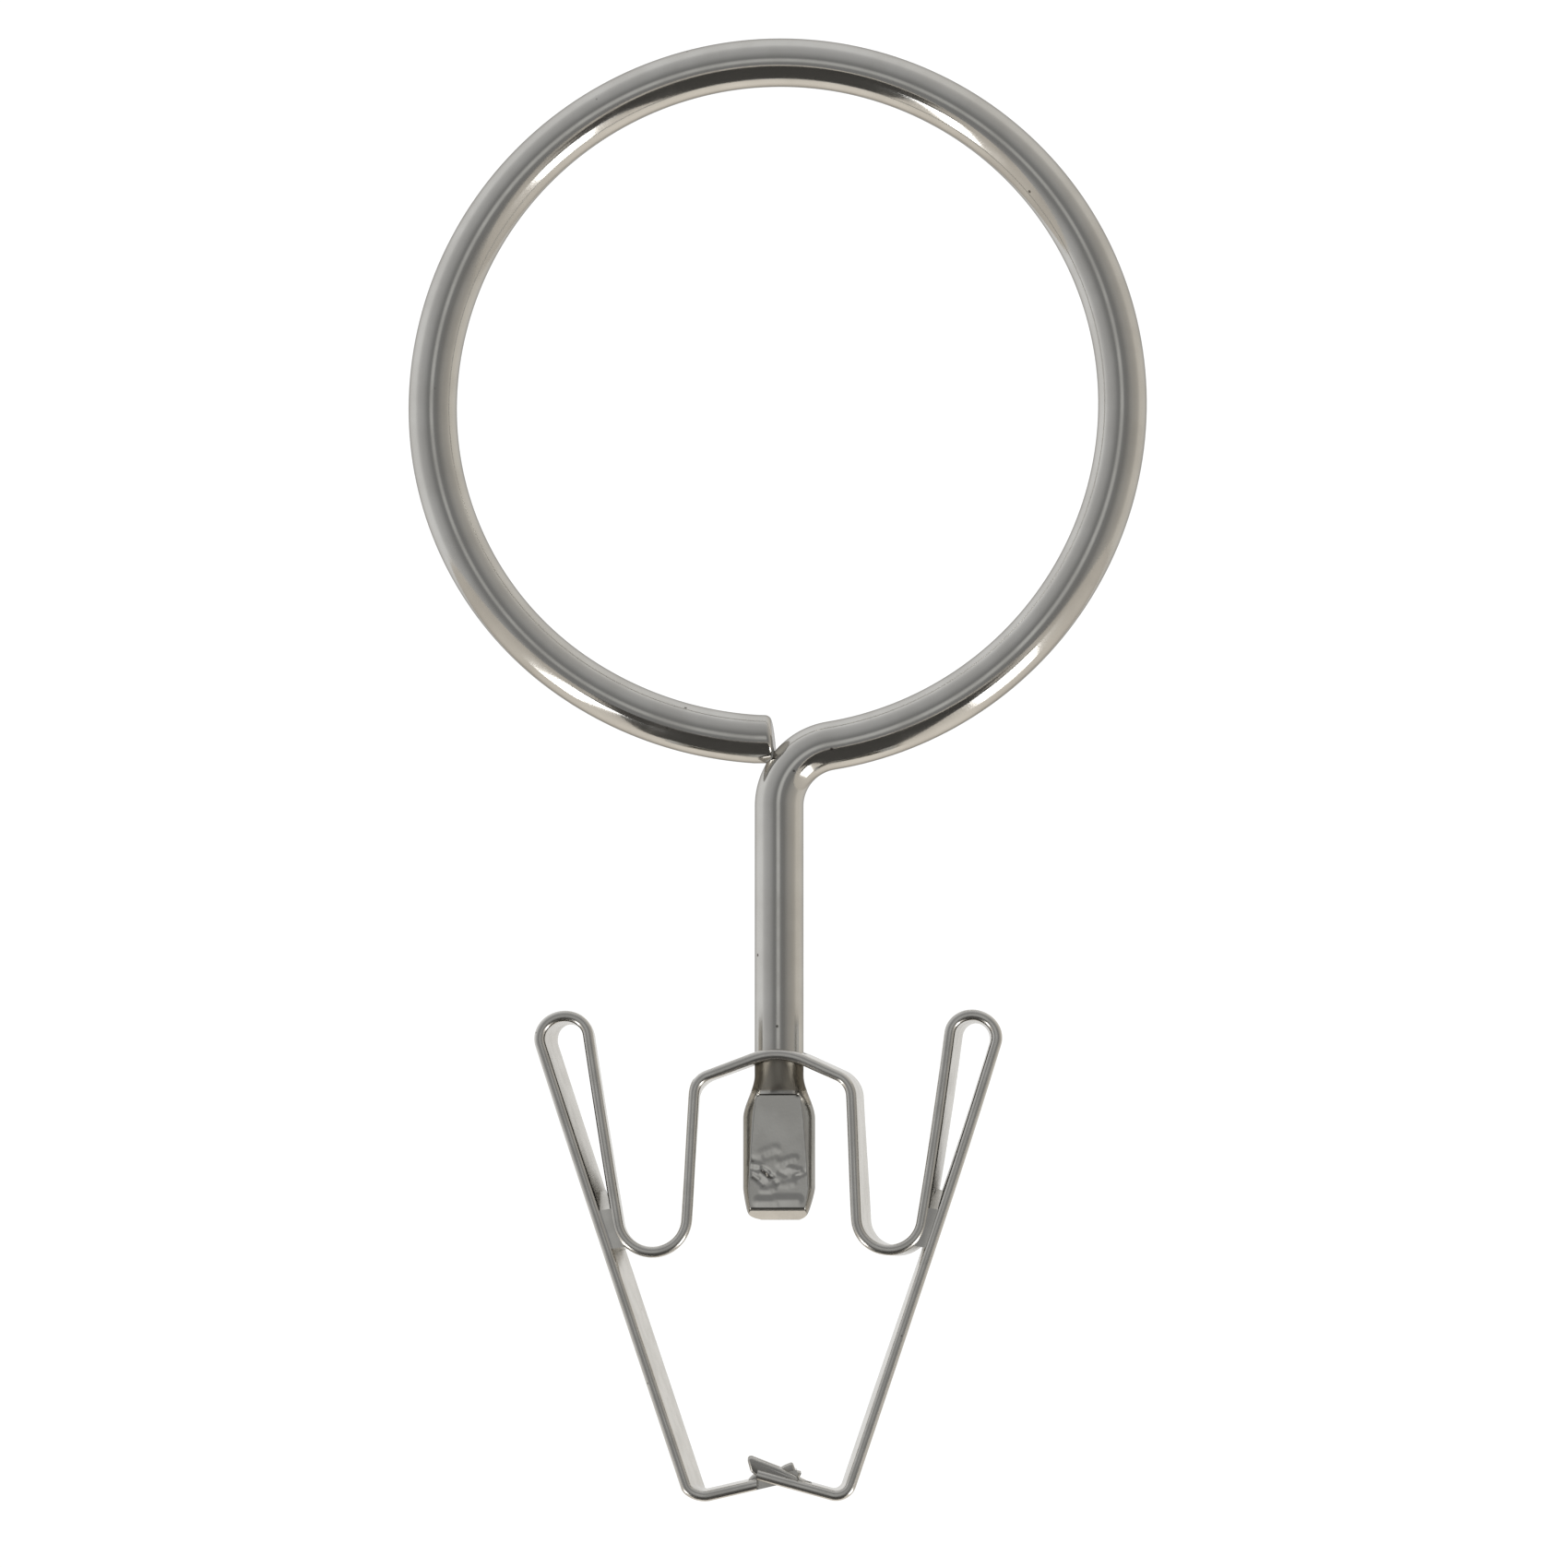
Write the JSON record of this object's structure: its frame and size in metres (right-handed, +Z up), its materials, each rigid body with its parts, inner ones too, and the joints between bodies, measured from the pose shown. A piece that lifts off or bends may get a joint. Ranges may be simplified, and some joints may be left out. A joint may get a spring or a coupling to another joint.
{
  "type": "curtain ring with clip",
  "caption": "Bent-wire curtain ring whose stem carries a swivelling folded spring clip with interlocking jaws that grip a curtain's edge.",
  "frame": {"origin": "centre of the ring, on the axis of the rod that it hangs from", "axes": "+Y along the rod, +Z up, with the stem and clip hanging towards -Z"},
  "size_m": [0.0452, 0.006, 0.0899],
  "materials": {
    "wire_nickel": "satin nickel plate on steel wire",
    "strip_nickel": "satin nickel plate on spring steel strip"
  },
  "bodies": {
    "ring": {"ring_wire": "wire_nickel"},
    "clip": {"spring_clip": "strip_nickel"}
  },
  "joints": [
    {"name": "clip_swivel", "type": "hinge", "parent": "ring", "child": "clip", "pos_m": [0, 0, -0.0399], "axis": [0, 0, 1], "continuous": true}
  ]
}
